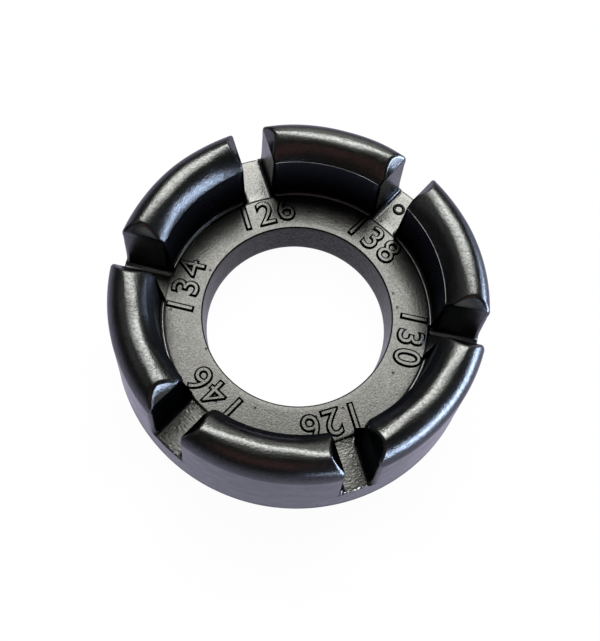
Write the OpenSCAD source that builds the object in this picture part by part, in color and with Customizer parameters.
// Round spoke wrench: one die-cast ring with six jaws standing on it.
// The gaps between the jaws are the slots that grip a spoke nipple by its flats.
// Origin: centre of the underside, +Z up towards the jaws.

/* [Base ring] */
// Outer radius at the underside, the widest place of the casting
rim_r = 20; // [19:0.1:23]
// Height of the annular floor that carries the size marks
floor_h = 4.85; // [4:0.05:6]
// Radius of the central finger bore
bore_r = 10; // [8:0.05:11.5]
// Rounding of the bore's top and bottom edge
bore_edge_r = 0.15; // [0.1:0.05:0.5]
// Rounding of the outer edge of the underside
rim_edge_r = 0.3; // [0.1:0.05:0.6]
// Drop from the annular floor to the floors of the slots
slot_step = 0.4; // [0.1:0.05:0.8]

/* [Jaws] */
// Taper of the outer wall: its loss of radius between the underside and the crown
wall_taper = 0.95; // [0.3:0.05:1.5]
// Height of the outer wall where the crown begins
shoulder_h = 10.7; // [10:0.1:11.5]
// Height of the highest line of the crown
crown_h = 13.5; // [13:0.05:14.5]
// Thickness of a jaw where the crown begins
jaw_t = 4.6; // [4:0.05:5]
// Distance from the inner wall out to the highest line of the crown
crown_in = 2.1; // [1.6:0.05:2.6]
// Fullness of the crown's inner side: two is a plain dome, more is squarer
crown_fullness = 2; // [1.8:0.1:3]
// Height of the inner edge of the crown
crown_edge_h = 11.6; // [11:0.1:12]
// Step from the edge of the annular floor out to the jaws' inner wall, filled by the foot's fillet
jaw_setback = 0.15; // [0.05:0.05:0.4]

/* [Slots] */
// Across-flats width of slot 1, straight ahead to the right
slot_1_w = 3.4; // [3:0.05:4.2]
// Across-flats width of slot 2
slot_2_w = 3.6; // [3:0.05:4.2]
// Across-flats width of slot 3
slot_3_w = 3.3; // [3:0.05:4.2]
// Across-flats width of slot 4
slot_4_w = 3.5; // [3:0.05:4.2]
// Across-flats width of slot 5
slot_5_w = 3.8; // [3:0.05:4.2]
// Across-flats width of slot 6
slot_6_w = 3.3; // [3:0.05:4.2]
// Direction of slot 1, counted from +X
slot_turn = -4.2; // [-10:0.1:10]
// Fillet at the foot of each slot wall
slot_fillet_r = 0.25; // [0.1:0.05:0.6]
// Rounding of the upright edges at the outer mouth of a slot
mouth_r = 0.5; // [0.1:0.05:0.8]
// Rounding of the upright edges at the inner end of a slot
throat_r = 0.4; // [0.2:0.05:1]

/* [Jaw ends] */
// Height at which the sloping facet on a jaw's end begins
facet_h = 12.15; // [11.6:0.05:12.6]
// Lean of that facet from upright
facet_lean = 34; // [15:1:45]

/* [Hidden] */
$fn = 96;
casting_colour = "#2b2b30";
slot_widths = [slot_1_w, slot_2_w, slot_3_w, slot_4_w, slot_5_w, slot_6_w];
slot_count = len(slot_widths);
slot_pitch = 360 / slot_count;
slot_floor_h = floor_h - slot_step;
arc_steps = 7;
crown_steps = 12;
cut_over = rim_r / 10;
shoulder_r = rim_r - wall_taper;
jaw_in_r = shoulder_r - jaw_t;
floor_r = jaw_in_r - jaw_setback;
crown_r = jaw_in_r + crown_in;
wall_slope = wall_taper / shoulder_h;
wall_draft = atan(wall_slope);
// How far the rounding at a slot's mouth reaches in from the rim, so that it crosses the wall at a clear angle
mouth_reach_share = 0.9;

function slot_angle(i) = slot_turn + slot_pitch * i;
function wall_r_at(z) = rim_r - wall_slope * z;
function arc(cx, cy, r, from, to, steps) =
    [for (i = [0:steps]) let (a = from + (to - from) * i / steps) [cx + r * cos(a), cy + r * sin(a)]];
// Outer side of the crown: a quarter of an ellipse from the wall up to the highest line
function crown_outside() =
    [for (i = [0:crown_steps]) let (a = 90 * i / crown_steps)
        [crown_r + (shoulder_r - crown_r) * cos(a), shoulder_h + (crown_h - shoulder_h) * sin(a)]];
// Inner side of the crown, from next to the highest line down to the inner wall
function crown_inside() =
    [for (i = [1:crown_steps]) let (t = i / crown_steps)
        [crown_r - (crown_r - jaw_in_r) * t, crown_h - (crown_h - crown_edge_h) * pow(t, crown_fullness)]];

// Half section of the base, from the bore out to the rim
module base_section() {
    rim_cr = rim_r - rim_edge_r;
    bore_cr = bore_r + bore_edge_r;
    polygon(concat(
        arc(bore_cr, bore_edge_r, bore_edge_r, 180, 270, arc_steps),
        arc(rim_cr, rim_edge_r, rim_edge_r, 270, 360, arc_steps),
        [[wall_r_at(slot_floor_h), slot_floor_h], [floor_r, slot_floor_h], [floor_r, floor_h]],
        arc(bore_cr, floor_h - bore_edge_r, bore_edge_r, 90, 180, arc_steps)
    ));
}

// Half section of a jaw: foot, drafted outer wall, domed crown, inner wall with a fillet at its foot
module jaw_section() {
    polygon(concat(
        [[floor_r, slot_floor_h]],
        [[wall_r_at(slot_floor_h), slot_floor_h]],
        crown_outside(),
        crown_inside(),
        arc(floor_r, floor_h + jaw_setback, jaw_setback, 360, 270, arc_steps)
    ));
}

// Where an upright edge's rounding is centred, along a slot of half width h
function mouth_along(h) = sqrt(pow(rim_r - mouth_r * mouth_reach_share, 2) - pow(h + mouth_r, 2));
function throat_along(h) = sqrt(pow(jaw_in_r + throat_r, 2) - pow(h + throat_r, 2));

// Plan of one side of a slot, from past its middle line to the wall, flared at the inner end
module slot_side_plan(h) {
    throat_x = throat_along(h);
    throat_a = atan2(h + throat_r, throat_x);
    polygon(concat(
        [[0, -cut_over], [0, 0], [floor_r * cos(throat_a), floor_r * sin(throat_a)]],
        arc(throat_x, h + throat_r, throat_r, throat_a + 180, 270, arc_steps),
        [[rim_r + cut_over, h], [rim_r + cut_over, -cut_over]]
    ));
}

// Plan of the rounding at the outer mouth, drawn at the height of the underside
module mouth_plan(h) {
    mouth_x = mouth_along(h);
    mouth_a = atan2(h + mouth_r, mouth_x);
    far_r = rim_r + cut_over;
    polygon(concat(
        [[mouth_x, 0]],
        arc(mouth_x, h + mouth_r, mouth_r, -90, mouth_a, arc_steps),
        [[far_r * cos(mouth_a), far_r * sin(mouth_a)], [far_r, 0]]
    ));
}

// Section across one side of a slot's top: the sloping facet on the jaw's end
module facet_section(h) {
    top = crown_h + cut_over;
    polygon([[-cut_over, facet_h], [h, facet_h], [h + (top - facet_h) * tan(facet_lean), top], [-cut_over, top]]);
}

// What one side of slot i takes away from the jaw beside it
module slot_side_cut(i) {
    h = slot_widths[i] / 2;
    translate([0, 0, slot_floor_h - cut_over])
        linear_extrude(crown_h + cut_over * 2 - slot_floor_h)
            slot_side_plan(h);
    translate([rim_r, 0, 0])
        rotate([0, -wall_draft, 0])
            translate([-rim_r, 0, 0])
                linear_extrude(crown_h + cut_over)
                    mouth_plan(h);
    rotate([90, 0, 90])
        linear_extrude(rim_r + cut_over)
            facet_section(h);
}

// Fillet along the foot of the slot wall
module slot_fillet(i) {
    h = slot_widths[i] / 2;
    start = throat_along(h);
    end = mouth_along(h) - wall_slope * slot_floor_h;
    translate([start, h, slot_floor_h])
        rotate([90, 0, 90])
            linear_extrude(end - start)
                polygon(concat(
                    [[slot_fillet_r, 0]],
                    arc(-slot_fillet_r, slot_fillet_r, slot_fillet_r, 270, 360, arc_steps),
                    [[slot_fillet_r, slot_fillet_r]]
                ));
}

// Jaw i stands between slot i and the next one, turning left
module jaw(i) {
    next = (i + 1) % slot_count;
    color(casting_colour)
        rotate([0, 0, slot_angle(i)]) {
            difference() {
                rotate_extrude(angle = slot_pitch)
                    jaw_section();
                slot_side_cut(i);
                rotate([0, 0, slot_pitch])
                    mirror([0, 1, 0])
                        slot_side_cut(next);
            }
            slot_fillet(i);
            rotate([0, 0, slot_pitch])
                mirror([0, 1, 0])
                    slot_fillet(next);
        }
}

module base_ring() {
    color(casting_colour)
        rotate_extrude()
            base_section();
}

base_ring();
jaw(0);  // jaw_1
jaw(1);  // jaw_2
jaw(2);  // jaw_3
jaw(3);  // jaw_4
jaw(4);  // jaw_5
jaw(5);  // jaw_6
